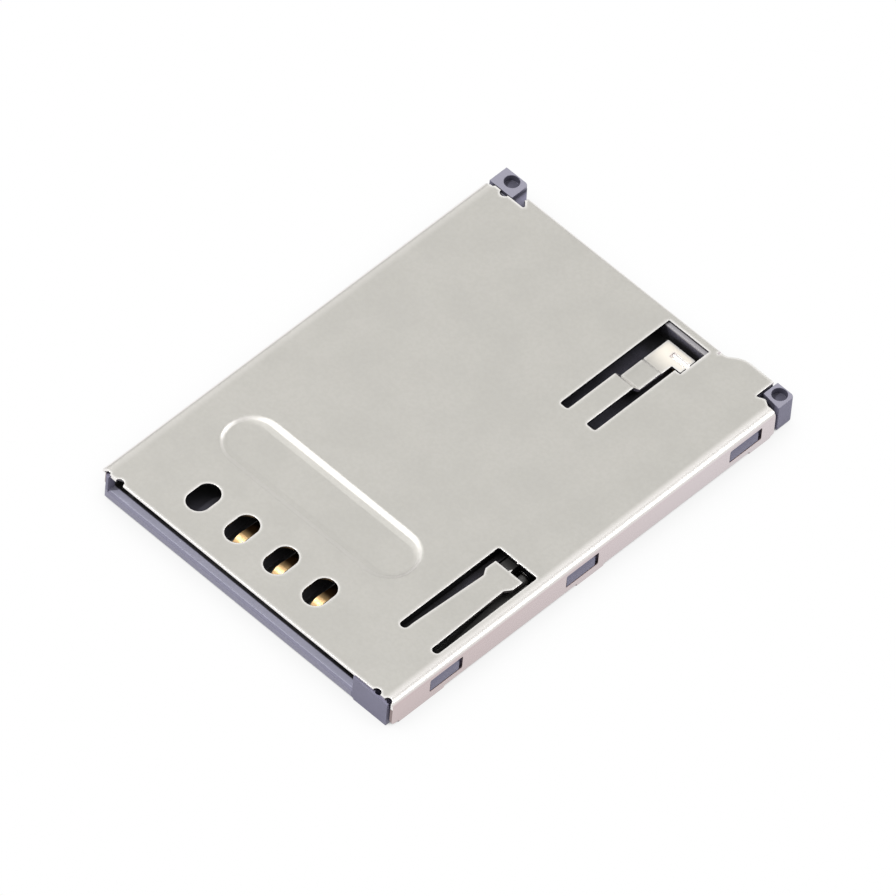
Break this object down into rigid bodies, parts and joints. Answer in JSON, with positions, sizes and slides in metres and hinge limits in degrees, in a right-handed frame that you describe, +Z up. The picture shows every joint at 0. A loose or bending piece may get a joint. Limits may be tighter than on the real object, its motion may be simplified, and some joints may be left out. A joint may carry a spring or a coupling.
{
  "type": "sim card socket",
  "caption": "Low push-push card socket: folded metal shell over a grey plastic housing, with sprung contacts and a sprung card slider.",
  "frame": {"origin": "centre of the bounding box's underside, on the plane of the board that the solder feet stand on", "axes": "+Y the way the card goes in, from the mouth to the corner posts; +Z up from the board; +X across, towards the slider's lane"},
  "size_m": [0.019, 0.027, 0.0017],
  "materials": {
    "shell_sheet": "matte nickel-plated stainless sheet with bright bends",
    "housing_plastic": "grey moulded plastic, fine matte",
    "contact_gold": "gold-plated spring bronze",
    "slider_plastic": "black moulded plastic",
    "spring_wire": "drawn stainless wire"
  },
  "bodies": {
    "socket": {"housing": "housing_plastic", "shell": "shell_sheet", "front_contact_1": "contact_gold", "front_contact_2": "contact_gold", "front_contact_3": "contact_gold", "rear_contact_1": "contact_gold", "rear_contact_2": "contact_gold", "rear_contact_3": "contact_gold", "detect_contact": "contact_gold", "return_spring": "spring_wire"},
    "slider": {"slider": "slider_plastic"},
    "cam_pin": {"cam_pin": "spring_wire"}
  },
  "joints": [
    {"name": "slider_slide", "type": "slide", "parent": "socket", "child": "slider", "axis": [0, 1, 0], "range_m": [0, 0.0054], "stiffness_N_per_m": 60, "springref_m": -0.003, "deforming": ["return_spring"]},
    {"name": "pin_swing", "type": "hinge", "parent": "socket", "child": "cam_pin", "pos_m": [0.00777, -0.0106, 0.001], "axis": [0, 0, 1], "range_deg": [-5.6, 5.6]}
  ],
  "couplings": [
    {"joint": "pin_swing", "follows": "slider_slide", "rad_per_m": 17.97}
  ]
}
